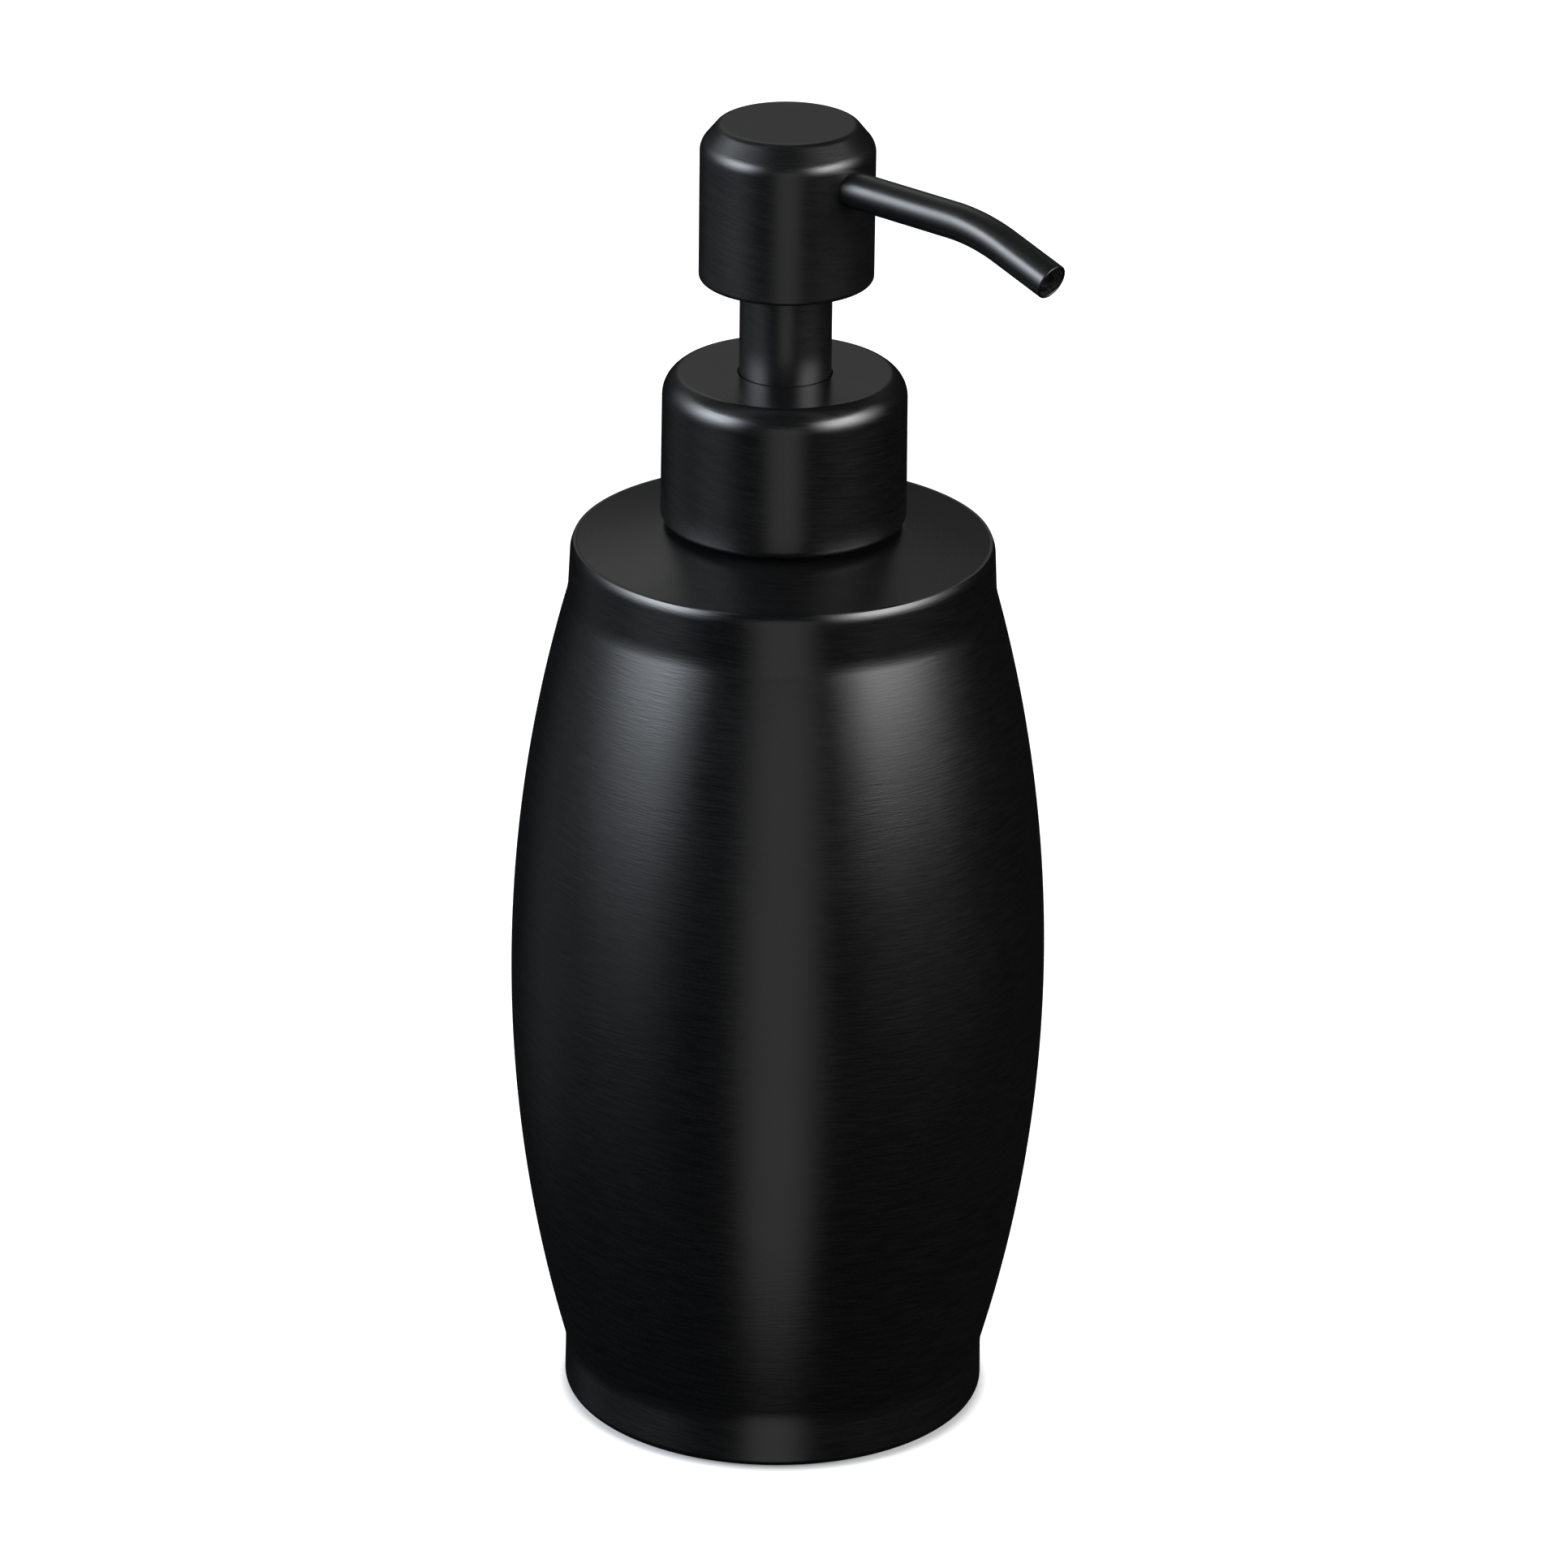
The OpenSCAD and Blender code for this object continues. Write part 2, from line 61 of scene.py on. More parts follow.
# Sizes in millimetres that the nodes' boxes don't give
SHEET = 0.8
COVER_SHEET = 0.65
CREASE_R = 28.1
BAND_H = 7.0
PAD_STAND = 0.4
FOOT_ROUND = 1.1
RIM_ROUND = 3.0
RIM_EASE_W = 0.37
RIM_EASE_H = 0.70
FOOT_FLARE = 0.1         # of the foot band, past the crease
RIM_TAPER = 0.3          # of the top band, from the crease
LIP_W = 2.9              # of the foot's inturned lip, from the crease
PLATE_BLEND = 3          # rounding where the plate's cone meets its flat
CREASE_ROUND = 10.0
PLATE_FLAT_R = 15.7
NECK_R = 12.5
NECK_BORE_R = 9.8
NECK_FLANGE_H = 1.0
THREAD_DEPTH = 1.1
THREAD_TURNS = 1.75
THREAD_START = 4.8       # above the collar's foot
THREAD_SUNK = 0.5        # of the ridge's root, into the wall
THREAD_ROOT_HALF = 1.5   # half the ridge's height at its root
THREAD_CREST_HALF = 0.65
THREAD_CREST_ROUND = 0.25
THREAD_STEPS = 144       # facets of the thread's full turn
THREAD_FADE = 29         # facets over which each end runs out
THREAD_END = 0.15        # share of the depth that the very ends keep
NECK_EASE = 0.15         # between the plate's hole and the neck
COLLAR_ROUND = 3.75      # of the collar's top corner inside, with the sheet's thickness
COLLAR_TAPER = 0.15
DECK_DROP = 0.44         # of the collar's flat top, under its box
SHOULDER_W = 1.94        # from the collar's side to its flat top, before rounding
SHOULDER_H = 1.36
SHOULDER_ROUND = 3.6
DECK_ROUND = 1.15
COLLAR_FOOT_ROUND = 1.1
COLLAR_LIP = 2.1         # from the neck's wall to the collar's inner edge
SLEEVE_WALL = 0.5
SLEEVE_GAP = 0.12        # between the sleeve and the hole in the collar's roof
BUSH_GAP = 0.08          # between the sleeve and the bush
LID_GAP = 0.05           # between the bush and the closure's lid
CLOSURE_WALL = 1.15
BEVEL_W = 2.35
BEVEL_H = 2.85
BEVEL_FOOT_ROUND = 2.6
BEVEL_TOP_ROUND = 1.2
SPOUT_WALL = 0.4
SPOUT_RUN = 28.2
BEND_R = 26.6
BEND_ANGLE = math.radians(19.25)
TIP_RUN = 8.4
PITCH = 4.23
WIRE_D = 0.8
WIRE_SKIN = 0.02         # taken off the wire's radius, so that its closed ends stay clear
SPRING_TURNS = 9

# The camera, round the object in degrees and from it in metres
CAMERA_SIDE = math.radians(42.09)
CAMERA_RISE = 22.89
CAMERA_ROLL = math.radians(0.74)
CAMERA_AIM = Vector((0.0010, -0.0003, 0.0877))
CAMERA_AWAY = 1.1344


# ---------------------------------------------------------------- outlines

def box_mm(node):
    """A node's lowest and highest corners, in millimetres."""
    low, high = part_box(node)
    return low / MM, high / MM


def arc(cx, cz, radius, start, end, steps):
    """Points of an arc about (cx, cz), angles in radians."""
    return [(cx + radius * math.cos(start + (end - start) * i / steps),
             cz + radius * math.sin(start + (end - start) * i / steps)) for i in range(steps + 1)]


def corner(before, at, after, radius):
    """A corner of an outline as an arc that touches both sides, with a guard point on each side."""
    before, at, after = Vector(before[:2]), Vector(at[:2]), Vector(after[:2])
    if radius == 0:
        return [tuple(at)]
    to_before, to_after = before - at, after - at
    u, v = to_before.normalized(), to_after.normalized()
    half = u.angle(v) / 2
    reach = radius / math.tan(half)
    centre = at + (u + v).normalized() * radius / math.sin(half)
    start = at + u * reach - centre
    turn = math.pi - 2 * half
    if u.x * v.y - u.y * v.x > 0:
        turn = -turn
    first = math.atan2(start.y, start.x)
    points = arc(centre.x, centre.y, radius, first, first + turn, CORNER_STEPS)
    if to_before.length > reach + 3 * GUARD:
        points.insert(0, tuple(at + u * (reach + GUARD)))
    if to_after.length > reach + 3 * GUARD:
        points.append(tuple(at + v * (reach + GUARD)))
    return points


def rounded(points):
    """An outline of (radius, height) points, where a third number rounds that corner."""
    out = []
    for i, at in enumerate(points):
        radius = at[2] if len(at) > 2 else 0
        out += corner(points[i - 1], at, points[(i + 1) % len(points)], radius)
    return out


# ---------------------------------------------------------------- meshes

def mesh_piece(name, verts, faces, sharp=35):
    """A smooth-shaded mesh object from a closed skin in millimetres, with sharp edges past an angle."""
    mesh = bpy.data.meshes.new(name)
    mesh.from_pydata([tuple(c * MM for c in v) for v in verts], [], faces)
    mesh.validate()
    made = bmesh.new()
    made.from_mesh(mesh)
    bmesh.ops.recalc_face_normals(made, faces=made.faces)
    made.to_mesh(mesh)
    made.free()
    mesh.shade_smooth()
    mesh.set_sharp_from_angle(angle=math.radians(sharp))
    piece = bpy.data.objects.new(name, mesh)
    bpy.context.scene.collection.objects.link(piece)
    return piece


def ring_faces(rings, closed):
    """Quads between rings of vertex numbers; a ring of one number is a pole."""
    faces = []
    pairs = zip(rings, rings[1:] + rings[:1]) if closed else zip(rings, rings[1:])
    for low, high in pairs:
        count = max(len(low), len(high))
        for j in range(count):
            k = (j + 1) % count
            if len(low) == 1 and len(high) == 1:
                break
            if len(low) == 1:
                faces.append((low[0], high[k], high[j]))
            elif len(high) == 1:
                faces.append((low[j], low[k], high[0]))
            else:
                faces.append((low[j], low[k], high[k], high[j]))
    return faces


def lathe(name, points, turns=TURNS, sharp=35):
    """A turned piece about Z from its half outline, given counter-clockwise with the axis on the left."""
    outline = rounded(points)
    on_axis = outline[0][0] < 1e-6
    verts, rings = [], []
    for radius, height in outline:
        first = len(verts)
        if radius < 1e-6:
            verts.append((0, 0, height))
            rings.append([first])
            continue
        for j in range(turns):
            a = 2 * math.pi * j / turns
            verts.append((radius * math.cos(a), radius * math.sin(a), height))
        rings.append(list(range(first, first + turns)))
    return mesh_piece(name, verts, ring_faces(rings, closed=not on_axis), sharp)


def swept(name, stations, sides, closed, sharp=35):
    """A piece through rings of points: each station is (centre, axis_u, axis_v, radius)."""
    verts, rings = [], []
    for centre, u, v, radius in stations:
        first = len(verts)
        for j in range(sides):
            a = 2 * math.pi * j / sides
            verts.append(centre + (u * math.cos(a) + v * math.sin(a)) * radius)
        rings.append(list(range(first, first + sides)))
    faces = ring_faces(rings, closed)
    if not closed:
        faces += [tuple(reversed(rings[0])), tuple(rings[-1])]
    return mesh_piece(name, verts, faces, sharp)


# ---------------------------------------------------------------- the bottle

def barrel_side(inset, body_r, low, high, steps=72):
    """The barrel's side, a single arc, moved inwards by inset."""
    middle, rise, bulge = (low + high) / 2, (high - low) / 2, body_r - CREASE_R
    radius = (rise * rise + bulge * bulge) / (2 * bulge)
    half = math.asin(rise / radius)
    return arc(body_r - radius, middle, radius - inset, -half, half, steps)


def build_body_shell():
    high = box_mm("body_shell")[1]
    body_r, body_h = high.x, high.z
    foot_r, rim_r, lip_r = CREASE_R + FOOT_FLARE, CREASE_R - RIM_TAPER, CREASE_R - LIP_W
    z0, z1 = PAD_STAND + BAND_H, body_h - BAND_H
    outer = barrel_side(0, body_r, z0, z1)
    inner = list(reversed(barrel_side(SHEET, body_r, z0, z1)))
    outer[0] += (CREASE_ROUND,)
    outer[-1] += (CREASE_ROUND,)
    return lathe("body_shell_skin", [
        (lip_r, PAD_STAND, 0.25), (foot_r, PAD_STAND, FOOT_ROUND), *outer,
        (rim_r, body_h - RIM_EASE_H, RIM_ROUND), (rim_r - RIM_EASE_W, body_h),
        (rim_r - SHEET, body_h), *inner,
        (foot_r - SHEET, PAD_STAND + SHEET, 0.3), (lip_r, PAD_STAND + SHEET)])


def build_top_plate():
    low, high = box_mm("top_plate")
    edge_r, rim_z = high.x, box_mm("body_shell")[1].z
    return lathe("top_plate_disc", [
        (NECK_R, high.z - SHEET), (PLATE_FLAT_R, high.z - SHEET, PLATE_BLEND),
        (edge_r - SHEET, rim_z - SHEET, 0.4), (edge_r - SHEET, low.z), (edge_r, low.z), (edge_r, rim_z),
        (PLATE_FLAT_R, high.z, PLATE_BLEND), (NECK_R + NECK_EASE, high.z), (NECK_R, high.z - NECK_EASE)])


def thread_ridge(wall_r, side, z0):
    """Rings of a thread's ridge on a wall: outward for side 1, inward for side -1."""
    root, steps = wall_r - side * THREAD_SUNK, round(THREAD_STEPS * THREAD_TURNS)
    verts, rings = [], []
    for i in range(steps + 1):
        a, z = 2 * math.pi * i / THREAD_STEPS, z0 + PITCH * i / THREAD_STEPS
        fade = min(1, THREAD_END + i / THREAD_FADE, THREAD_END + (steps - i) / THREAD_FADE)
        tip = root + side * (THREAD_DEPTH + THREAD_SUNK) * fade
        section = rounded([
            (root, z - side * THREAD_ROOT_HALF),
            (tip, z - side * THREAD_CREST_HALF, THREAD_CREST_ROUND),
            (tip, z + side * THREAD_CREST_HALF, THREAD_CREST_ROUND),
            (root, z + side * THREAD_ROOT_HALF)])
        first = len(verts)
        verts += [(r * math.cos(a), r * math.sin(a), h) for r, h in section]
        rings.append(list(range(first, first + len(section))))
    return verts, ring_faces(rings, closed=False) + [tuple(reversed(rings[0])), tuple(rings[-1])]


def with_thread(piece, wall_r, side, z0):
    """The turned piece with a thread's ridge sunk into its wall."""
    verts, faces = thread_ridge(wall_r, side, z0)
    ridge = mesh_piece("ridge", verts, faces)
    made = bmesh.new()
    made.from_mesh(piece.data)
    made.from_mesh(ridge.data)
    made.to_mesh(piece.data)
    made.free()
    bpy.data.objects.remove(ridge)
    return piece


def build_neck_ferrule():
    low, high = box_mm("neck_ferrule")
    flange_z, flange_r = low.z + NECK_FLANGE_H, PLATE_FLAT_R - 0.5
    neck = lathe("neck_ferrule_tube", [
        (NECK_BORE_R, low.z), (flange_r, low.z), (flange_r, flange_z), (NECK_R, flange_z),
        (NECK_R, high.z, 0.6), (NECK_BORE_R, high.z, 0.4)])
    return with_thread(neck, NECK_R, 1, box_mm("collar_shell")[0].z + THREAD_START)


def build_closure():
    low, high = box_mm("threaded_closure")
    bush_low, bush_high = box_mm("guide_bush")
    bore_r, lid_z, bush_r = high.x - CLOSURE_WALL, bush_low.z - LID_GAP, bush_high.x
    closure = lathe("threaded_closure_cap", [
        (bore_r, low.z, 0.3), (high.x, low.z, 0.3), (high.x, high.z, COLLAR_ROUND - COVER_SHEET + 0.05),
        (bush_r, high.z), (bush_r, lid_z), (bore_r, lid_z)])
    return with_thread(closure, bore_r, -1, box_mm("collar_shell")[0].z + THREAD_START - PITCH / 2)


def build_base_pad():
    high = box_mm("base_pad")[1]
    return lathe("base_pad_disc", [(0, 0), (high.x, 0, 0.3), (high.x, high.z), (0, high.z)])


def build_base_plate():
    low, high = box_mm("base_plate")
    return lathe("base_plate_pan", [
        (0, low.z), (high.x, low.z, 0.5), (high.x, high.z), (high.x - SHEET, high.z),
        (high.x - SHEET, low.z + SHEET, 0.6), (0, low.z + SHEET)])


# ---------------------------------------------------------------- collar and head

def build_collar_shell():
    low, high = box_mm("collar_shell")
    foot_r, top_r = high.x, high.x - COLLAR_TAPER
    hole_r = box_mm("stem_sleeve")[1].x + SLEEVE_GAP
    deck, roof = high.z - DECK_DROP, high.z - COVER_SHEET
    lip_r, inner_r = NECK_R + COLLAR_LIP, top_r - COVER_SHEET
    return lathe("collar_shell_skin", [
        (lip_r, low.z, 0.2), (foot_r, low.z, COLLAR_FOOT_ROUND),
        (top_r, deck - SHOULDER_H, SHOULDER_ROUND), (top_r - SHOULDER_W, deck, DECK_ROUND),
        (hole_r, deck, 0.12), (hole_r, roof), (inner_r, roof, COLLAR_ROUND - COVER_SHEET),
        (foot_r - COVER_SHEET, low.z + COVER_SHEET, 0.4), (lip_r, low.z + COVER_SHEET)])


def build_guide_bush():
    low, high = box_mm("guide_bush")
    bore_r = box_mm("stem_sleeve")[1].x + BUSH_GAP
    return lathe("guide_bush_ring", [
        (bore_r, low.z, 0.15), (high.x, low.z), (high.x, high.z), (bore_r, high.z, 0.2)])


def build_sleeve():
    low, high = box_mm("stem_sleeve")
    return lathe("stem_sleeve_tube", [
        (high.x - SLEEVE_WALL, low.z, 0.1), (high.x, low.z, 0.2), (high.x, high.z),
        (high.x - SLEEVE_WALL, high.z)])


def build_head_shell():
    low, high = box_mm("head_shell")
    head_r, top = high.x, high.z
    inner_r, inner_top = head_r - COVER_SHEET, top - COVER_SHEET
    inset = COVER_SHEET * 0.45    # keeps the sheet's thickness through the bevel
    bevel_z = top - BEVEL_H
    return lathe("head_shell_cap", [
        (inner_r, low.z), (head_r, low.z, COVER_SHEET - 0.05),
        (head_r, bevel_z, BEVEL_FOOT_ROUND), (head_r - BEVEL_W, top, BEVEL_TOP_ROUND), (0, top),
        (0, inner_top), (head_r - BEVEL_W - inset, inner_top, BEVEL_TOP_ROUND - COVER_SHEET),
        (inner_r, bevel_z - inset, BEVEL_FOOT_ROUND - COVER_SHEET)])


def spout_frame(s, spout_z):
    """Centre and tangent of the spout's path at distance s from the pump's axis."""
    angle = min(max((s - SPOUT_RUN) / BEND_R, 0), BEND_ANGLE)
    past = max(s - SPOUT_RUN - BEND_R * BEND_ANGLE, 0)
    tangent = Vector((math.cos(angle), 0, -math.sin(angle)))
    centre = Vector((min(s, SPOUT_RUN) + BEND_R * math.sin(angle), 0,
                     spout_z - BEND_R * (1 - math.cos(angle))))
    return centre + tangent * past, tangent


def build_spout():
    low, high = box_mm("spout_tube")
    outer, spout_z = high.y, high.z - high.y
    inner = outer - SPOUT_WALL
    end = SPOUT_RUN + BEND_R * BEND_ANGLE + TIP_RUN
    lip = SPOUT_WALL / 2
    bend_steps, sides = 40, 96
    path = [low.x] + [SPOUT_RUN + BEND_R * BEND_ANGLE * i / bend_steps for i in range(bend_steps + 1)]
    round_lip = arc(end - lip, inner + lip, lip, math.pi / 2, -math.pi / 2, 8)
    rim = [(end - lip - GUARD, outer), *round_lip, (end - lip - GUARD, inner)]
    profile = [(s, outer) for s in path] + rim + [(s, inner) for s in reversed(path)]
    stations = []
    for s, radius in profile:
        centre, tangent = spout_frame(s, spout_z)
        across = Vector((0, 1, 0))
        stations.append((centre, tangent.cross(across), across, radius))
    tube = swept("spout_tube_bent", stations, sides, closed=True)
    for face in tube.data.polygons[(len(path) + len(rim) - 1) * sides:]:
        face.material_index = 1    # the bore takes the second finish
    return tube


# ---------------------------------------------------------------- inside the pump

def build_inlet_ball():
    low, high = box_mm("inlet_ball")
    radius, quarter = (high.z - low.z) / 2, math.pi / 2
    return lathe("inlet_ball_sphere", arc(0, low.z + radius, radius, -quarter, quarter, 48), turns=96)


def build_spring():
    low, high = box_mm("return_spring")
    wire_r = WIRE_D / 2 - WIRE_SKIN
    mean_r = high.x - wire_r
    foot, top = low.z + wire_r, high.z - wire_r
    steps, sides = 48, 12
    stations = []
    for i in range(steps * SPRING_TURNS + 1):
        t, a = i / steps, 2 * math.pi * i / steps
        if t < 1:
            z = foot + WIRE_D * 0.5 * t
        elif t > SPRING_TURNS - 1:
            z = top - WIRE_D * 0.5 * (SPRING_TURNS - t)
        else:
            z = foot + WIRE_D * 0.5 + (top - foot - WIRE_D) * (t - 1) / (SPRING_TURNS - 2)
        out = Vector((math.cos(a), math.sin(a), 0))
        stations.append((out * mean_r + Vector((0, 0, z)), out, Vector((0, 0, 1)), wire_r))
    return swept("return_spring_coil", stations, sides, closed=False, sharp=60)


# ---------------------------------------------------------------- materials

def add(tree, kind, links=None, **settings):
    """A shader node; links maps an input's name or number to a socket or a value."""
    made = tree.nodes.new("ShaderNode" + kind)
    for key, value in settings.items():
        setattr(made, key, value)
    for key, value in (links or {}).items():
        if isinstance(value, bpy.types.NodeSocket):
            tree.links.new(value, made.inputs[key])
        else:
            made.inputs[key].default_value = value
    return made


def math_node(tree, operation, a, b=0.0):
    return add(tree, "Math", {0: a, 1: b}, operation=operation).outputs[0]


def new_material(name):
    """A material, its node tree and its Principled shader."""
    material = bpy.data.materials.new(name)
    material.use_nodes = True
    tree = material.node_tree
    return material, tree, tree.nodes["Principled BSDF"]


def noise(tree, vector, scale, detail=2.0, rough=0.5, distortion=0.0):
    return add(tree, "TexNoise", {"Vector": vector, "Scale": scale, "Detail": detail,
                                  "Roughness": rough, "Distortion": distortion}).outputs["Fac"]


def remap(tree, value, low, high, out_low, out_high):
    return add(tree, "MapRange", {"Value": value, "From Min": low, "From Max": high,
                                  "To Min": out_low, "To Max": out_high}).outputs[0]


def polish_lines(tree, place, slant, stretch, fine):
    """Noise drawn out round the piece: fine along the outline, long round the axis."""
    parts = add(tree, "SeparateXYZ", {0: place})
    x, y, z = parts.outputs
    radius = math_node(tree, "SQRT", math_node(tree, "ADD", math_node(tree, "MULTIPLY", x, x),
                                               math_node(tree, "MULTIPLY", y, y)))
    along = math_node(tree, "SUBTRACT", z, radius)
    lean = math_node(tree, "MULTIPLY", math_node(tree, "ARCTAN2", y, x), slant)
    height = math_node(tree, "MULTIPLY", math_node(tree, "ADD", along, lean), fine)
    vector = add(tree, "CombineXYZ", {0: math_node(tree, "MULTIPLY", x, stretch),
                                      1: math_node(tree, "MULTIPLY", y, stretch), 2: height})
    return noise(tree, vector.outputs[0], 1.0, detail=3.0, rough=0.6)


def black_paint(name, colour, roughness, lines):
    """Satin black over sheet steel that was polished round: fine lines, grain and faint handling marks."""
    material, tree, shader = new_material(name)
    place = add(tree, "TexCoord").outputs["Object"]
    across = polish_lines(tree, place, slant=0.0015, stretch=230, fine=3600)
    counter = polish_lines(tree, place, slant=-0.002, stretch=190, fine=2800)
    patches = remap(tree, noise(tree, place, 70, detail=2.0), 0.42, 0.58, 0.35, 1.0)
    polish = math_node(tree, "MULTIPLY", math_node(tree, "ADD", across, counter), patches)
    grain = noise(tree, place, 4200, detail=2.0)
    marks = noise(tree, place, 38, detail=4.0, rough=0.62, distortion=0.6)
    streak = math_node(tree, "MULTIPLY", math_node(tree, "ADD", across, grain), 0.5)
    tone = add(tree, "MixRGB", {"Fac": remap(tree, streak, 0.36, 0.64, 0.0, 1.0),
                                "Color1": (*colour, 1), "Color2": (*[c * 1.5 + 0.002 for c in colour], 1)})
    rough = math_node(tree, "ADD", remap(tree, across, 0.35, 0.65, roughness - 0.02, roughness + 0.02),
                      remap(tree, marks, 0.35, 0.7, -0.02, 0.03))
    relief = add(tree, "Bump", {"Height": polish, "Strength": lines, "Distance": 0.00004})
    fine = add(tree, "Bump", {"Height": grain, "Strength": 0.12, "Distance": 0.00003,
                              "Normal": relief.outputs[0]})
    tree.links.new(tone.outputs[0], shader.inputs["Base Color"])
    tree.links.new(rough, shader.inputs["Roughness"])
    tree.links.new(fine.outputs[0], shader.inputs["Normal"])
    shader.inputs["Specular IOR Level"].default_value = 0.7
    return material


def moulded(name, colour, roughness, speckle=0.06, translucent=0.0):
    """Moulded plastic or rubber: a fine etched surface and slight colour drift."""
    material, tree, shader = new_material(name)
    place = add(tree, "TexCoord").outputs["Object"]
    etched = noise(tree, place, 5200, detail=3.0)
    drift = noise(tree, place, 120, detail=2.0)
    darker = [c * (1 - speckle) for c in colour]
    tone = add(tree, "MixRGB", {"Fac": remap(tree, drift, 0.3, 0.7, 0.0, 1.0),
                                "Color1": (*darker, 1), "Color2": (*colour, 1)})
    relief = add(tree, "Bump", {"Height": etched, "Strength": 0.2, "Distance": 0.00004})
    tree.links.new(tone.outputs[0], shader.inputs["Base Color"])
    tree.links.new(remap(tree, etched, 0.3, 0.7, roughness - 0.05, roughness + 0.05),
                   shader.inputs["Roughness"])
    tree.links.new(relief.outputs[0], shader.inputs["Normal"])
    shader.inputs["Subsurface Weight"].default_value = translucent
    shader.inputs["Subsurface Radius"].default_value = (0.004, 0.004, 0.004)
    return material


def bare_steel(name, colour, roughness, stain=0.15):
    """Bare drawn or rolled steel with fine lines and a mottled tone."""
    material, tree, shader = new_material(name)
    place = add(tree, "TexCoord").outputs["Object"]
    lines = polish_lines(tree, place, slant=0.0, stretch=200, fine=3000)
    tree.links.new(remap(tree, lines, 0.3, 0.7, roughness - 0.08, roughness + 0.08),
                   shader.inputs["Roughness"])
    relief = add(tree, "Bump", {"Height": lines, "Strength": 0.15, "Distance": 0.00003})
    tree.links.new(relief.outputs[0], shader.inputs["Normal"])
    mottle = remap(tree, noise(tree, place, 1500, detail=3.0), 0.4, 0.6, 0.0, 1.0)
    tone = add(tree, "MixRGB", {"Fac": mottle, "Color1": (*colour, 1),
                                "Color2": (*[c * (1 - stain) for c in colour], 1)})
    tree.links.new(tone.outputs[0], shader.inputs["Base Color"])
    shader.inputs["Metallic"].default_value = 1.0
    return material


BLACK = (0.0026, 0.0026, 0.0028)
FINISHES = {
    "bottle_paint": black_paint("satin_black_bottle", BLACK, 0.22, lines=0.30),
    "collar_paint": black_paint("satin_black_collar", BLACK, 0.24, lines=0.15),
    "head_paint": black_paint("satin_black_head", BLACK, 0.31, lines=0.15),
    "black_plastic": moulded("black_moulding", (0.004, 0.004, 0.004), 0.6),
    "pump_plastic": moulded("natural_moulding", (0.72, 0.72, 0.68), 0.42, translucent=0.3),
    "tube_plastic": moulded("clear_tubing", (0.70, 0.73, 0.73), 0.3, translucent=0.5),
    "gasket_rubber": moulded("white_seal", (0.68, 0.68, 0.64), 0.6),
    "pad_rubber": moulded("foot_rubber", (0.018, 0.018, 0.018), 0.8, speckle=0.2),
    "bare_steel": bare_steel("pan_steel", (0.52, 0.52, 0.53), 0.35),
    "spring_steel": bare_steel("spring_wire", (0.56, 0.56, 0.57), 0.25),
    "ball_steel": bare_steel("ball_polish", (0.62, 0.62, 0.64), 0.12),
}


# ---------------------------------------------------------------- pieces on their bodies

SLOT_OF = {row["node"]: row["material_slot"] for row in frame["record"]["subparts"]}
OWN_FINISH = {"top_plate": black_paint("satin_black_plate", BLACK, 0.31, lines=0.30)}
SECOND_FINISH = {"spout_tube": bare_steel("tube_bore", (0.48, 0.48, 0.47), 0.4, stain=0.75)}
BODY_OF = {node: body for body, nodes in frame["record"]["behaviour"]["bodies"].items()
           for node in nodes}
REBUILT = {
    "body_shell": build_body_shell,
    "top_plate": build_top_plate,
    "neck_ferrule": build_neck_ferrule,
    "base_plate": build_base_plate,
    "base_pad": build_base_pad,
    "collar_shell": build_collar_shell,
    "threaded_closure": build_closure,
    "guide_bush": build_guide_bush,
    "stem_sleeve": build_sleeve,
    "head_shell": build_head_shell,
    "spout_tube": build_spout,
    "return_spring": build_spring,
    "inlet_ball": build_inlet_ball,
}

for node_name, builder in REBUILT.items():
    piece = builder()
    piece.data.materials.append(OWN_FINISH.get(node_name, FINISHES[SLOT_OF[node_name]]))
    if node_name in SECOND_FINISH:
        piece.data.materials.append(SECOND_FINISH[node_name])
    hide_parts(node_name)
    if node_name == "return_spring":
        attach(piece, "pump_unit")
        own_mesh(piece)
    else:
        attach(piece, BODY_OF[node_name])

for node_name, node_object in frame["nodes"].items():
    if node_name not in REBUILT:
        node_object.data.materials.clear()
        node_object.data.materials.append(FINISHES[SLOT_OF[node_name]])


# ---------------------------------------------------------------- floor, light and camera

# The studio's light as (degrees, level) stops: azimuth is from the camera's side, positive to its right
WINDOW_LEVEL = 9.5
LEFT_RISE = [(-40, 0.0), (-26, 0.005), (-20, 0.018), (-13, 0.026), (-8, 0.048), (-3, 0.11), (3, 0.27),
             (8, 0.42), (13, 0.68), (20, 1.0), (34, 1.0), (36.5, 0.03), (60, 0.03), (90, 0.02)]
RIGHT_RISE = [(-26, 0.0), (-20, 0.004), (-13, 0.010), (-8, 0.022), (-3, 0.065), (3, 0.25), (8, 0.42),
              (13, 0.68), (20, 1.0), (34, 1.0), (36.5, 0.03), (60, 0.03), (90, 0.02)]
LEFT_WINDOW = [(-135, 0.0), (-112, 0.10), (-97, 0.36), (-82, 0.82), (-70, 1.0), (-58, 0.95), (-48, 0.35),
               (-38, 0.0)]
RIGHT_WINDOW = [(25, 0.0), (35, 0.30), (46, 0.90), (56, 1.0), (68, 0.95), (80, 0.60), (92, 0.20),
                (110, 0.0)]
LEFT_TINT = (1.05, 1.13, 1.22, 1)
STRIP_LEVEL = 0.47
STRIP = [(-21, 0.0), (-8, 1.0), (9, 1.0), (23, 0.0)]
STRIP_RISE = [(-62, 0.0), (-54, 0.1), (-45, 0.9), (-38, 1.0), (10, 1.0), (24, 0.0)]
BEHIND_LEVEL = 0.28
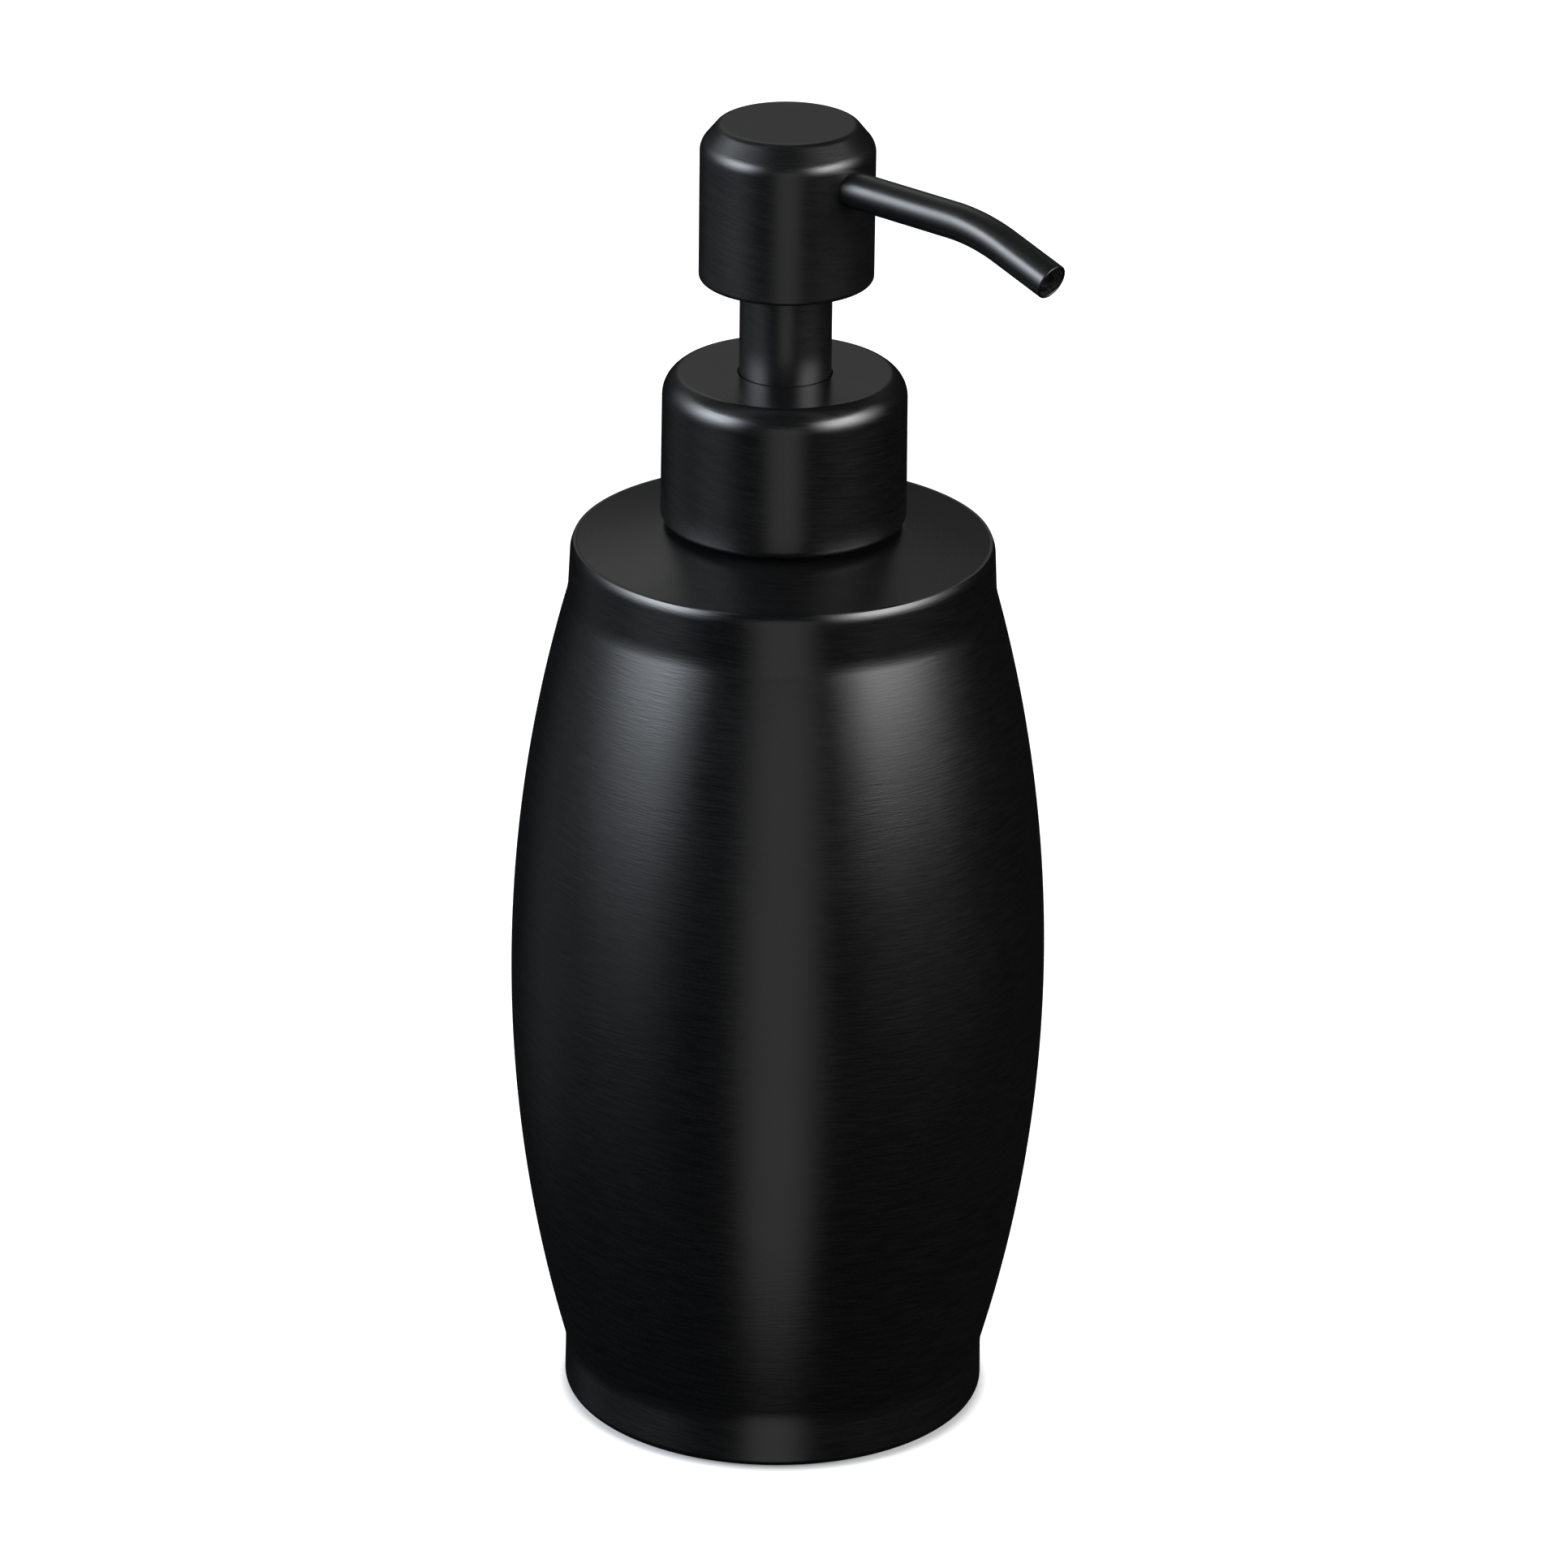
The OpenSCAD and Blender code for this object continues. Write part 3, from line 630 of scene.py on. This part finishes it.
BEHIND = [(-180, 1.0), (-172, 0.95), (-150, 0.55), (-120, 0.3), (-95, 0.0), (95, 0.0), (120, 0.15),
          (150, 0.17), (166, 0.25), (180, 1.0)]
BEHIND_RISE = [(-2, 0.0), (5, 0.2), (17, 0.38), (23, 1.0), (30, 1.8), (38, 2.6), (46, 1.2), (60, 0.6),
               (90, 0.4)]
LOW_LEVEL = 0.075
LOW = [(-148, 0.0), (-136, 0.3), (-121, 1.0), (-108, 0.9), (-94, 0.0)]
LOW_RISE = [(-33, 0.0), (-25, 1.0), (-8, 1.0), (4, 0.0)]
DARK_LEVEL = 0.004


def build_floor():
    """A pale sweep of floor, which the paint's reflections leave out; its glow is darkened near the
    object's foot as a painted contact shadow.
    """
    bpy.ops.mesh.primitive_plane_add(size=12, location=(0, 0, 0))
    floor = bpy.context.object
    floor.name = "floor"
    material, tree, shader = new_material("pale_floor")
    place = add(tree, "TexCoord").outputs["Object"]
    tone = add(tree, "MixRGB", {"Fac": noise(tree, place, 6.0), "Color1": (0.80, 0.80, 0.80, 1),
                                "Color2": (0.84, 0.84, 0.84, 1)})
    tree.links.new(tone.outputs[0], shader.inputs["Base Color"])
    shader.inputs["Roughness"].default_value = 0.9
    # Painted contact shadow: the floor's glow is dimmed where ambient occlusion finds the object close by
    painted_contact_shadow_ao = add(tree, "AmbientOcclusion", {"Distance": 0.002}, samples=12)
    tree.links.new(remap(tree, painted_contact_shadow_ao.outputs["AO"], 0.4, 1.0, 0.2, 1.0), shader.inputs["Emission Color"])
    shader.inputs["Emission Strength"].default_value = 0.85
    floor.data.materials.append(material)
    floor.visible_glossy = False
    floor.visible_diffuse = False


def direction(azimuth, elevation):
    """A unit vector from the object: azimuth is from the camera's side, positive to its right."""
    side = CAMERA_SIDE + math.radians(azimuth)
    rise = math.radians(elevation)
    return Vector((math.sin(side) * math.cos(rise), -math.cos(side) * math.cos(rise), math.sin(rise)))


def profile(tree, value, low, high, stops):
    """A value looked up in a list of (position, level) stops, joined by straight lines."""
    ramp = add(tree, "ValToRGB", {"Fac": remap(tree, value, low, high, 0.0, 1.0)})
    elements = ramp.color_ramp.elements
    for i, (position, level) in enumerate(stops):
        place = (position - low) / (high - low)
        if i == 0 or i == len(stops) - 1:
            element = elements[0 if i == 0 else -1]
            element.position = place
        else:
            element = elements.new(place)
        element.color = (level, level, level, 1)
    return ramp.outputs["Color"]


def build_world():
    """White where the camera looks past the object, and for the rest a dark studio: a tall soft window
    to the left and one to the right, both brightest near their upper edge, a dim strip in front, a dim
    glow behind and a dimmer one low at the back left."""
    world = bpy.data.worlds.new("studio")
    bpy.context.scene.world = world
    world.use_nodes = True
    tree = world.node_tree
    tree.nodes.clear()
    ray = add(tree, "TexCoord").outputs["Generated"]

    def toward(vector):
        return add(tree, "VectorMath", {0: ray, 1: vector}, operation="DOT_PRODUCT").outputs["Value"]

    across = math_node(tree, "ARCTAN2", toward(direction(90, 0)), toward(direction(0, 0)))
    azimuth = math_node(tree, "DEGREES", across)
    elevation = math_node(tree, "DEGREES", math_node(tree, "ARCSINE", toward(Vector((0, 0, 1)))))

    def panel(around, rise):
        return math_node(tree, "MULTIPLY", profile(tree, azimuth, -180, 180, around),
                         profile(tree, elevation, -90, 90, rise))

    left, right = panel(LEFT_WINDOW, LEFT_RISE), panel(RIGHT_WINDOW, RIGHT_RISE)
    level = DARK_LEVEL
    for strength, around, rise in ((STRIP_LEVEL, STRIP, STRIP_RISE), (BEHIND_LEVEL, BEHIND, BEHIND_RISE),
                                   (LOW_LEVEL, LOW, LOW_RISE)):
        level = math_node(tree, "ADD", math_node(tree, "MULTIPLY", panel(around, rise), strength), level)
    lit = add(tree, "MixRGB", {"Fac": 1.0, "Color1": left, "Color2": LEFT_TINT}, blend_type="MULTIPLY")
    lit = add(tree, "MixRGB", {"Fac": 1.0, "Color1": lit.outputs[0], "Color2": right}, blend_type="ADD")
    windows = add(tree, "Background", {"Color": lit.outputs[0], "Strength": WINDOW_LEVEL})
    rest = add(tree, "Background", {"Color": (1, 1, 1, 1), "Strength": level})
    studio = add(tree, "AddShader", {0: windows.outputs[0], 1: rest.outputs[0]})
    white = add(tree, "Background", {"Color": (0.96, 0.96, 0.96, 1), "Strength": 1.0})
    camera_ray = add(tree, "LightPath").outputs["Is Camera Ray"]
    mixed = add(tree, "MixShader", {0: camera_ray, 1: studio.outputs[0], 2: white.outputs[0]})
    out = tree.nodes.new("ShaderNodeOutputWorld")
    tree.links.new(mixed.outputs[0], out.inputs["Surface"])


def build_camera():
    """A long lens from the front right, slightly above."""
    data = bpy.data.cameras.new("camera")
    data.lens, data.sensor_width = 197.25, 36.0
    data.clip_start, data.clip_end = 0.05, 20.0
    camera = bpy.data.objects.new("camera", data)
    back = direction(0, CAMERA_RISE)
    camera.location = CAMERA_AIM + back * CAMERA_AWAY
    camera.rotation_mode = "QUATERNION"
    roll = Quaternion((0, 0, 1), CAMERA_ROLL)
    camera.rotation_quaternion = back.to_track_quat("Z", "Y") @ roll
    bpy.context.scene.collection.objects.link(camera)
    bpy.context.scene.camera = camera


build_floor()
build_world()
build_camera()

bpy.context.scene.view_settings.view_transform = "Standard"
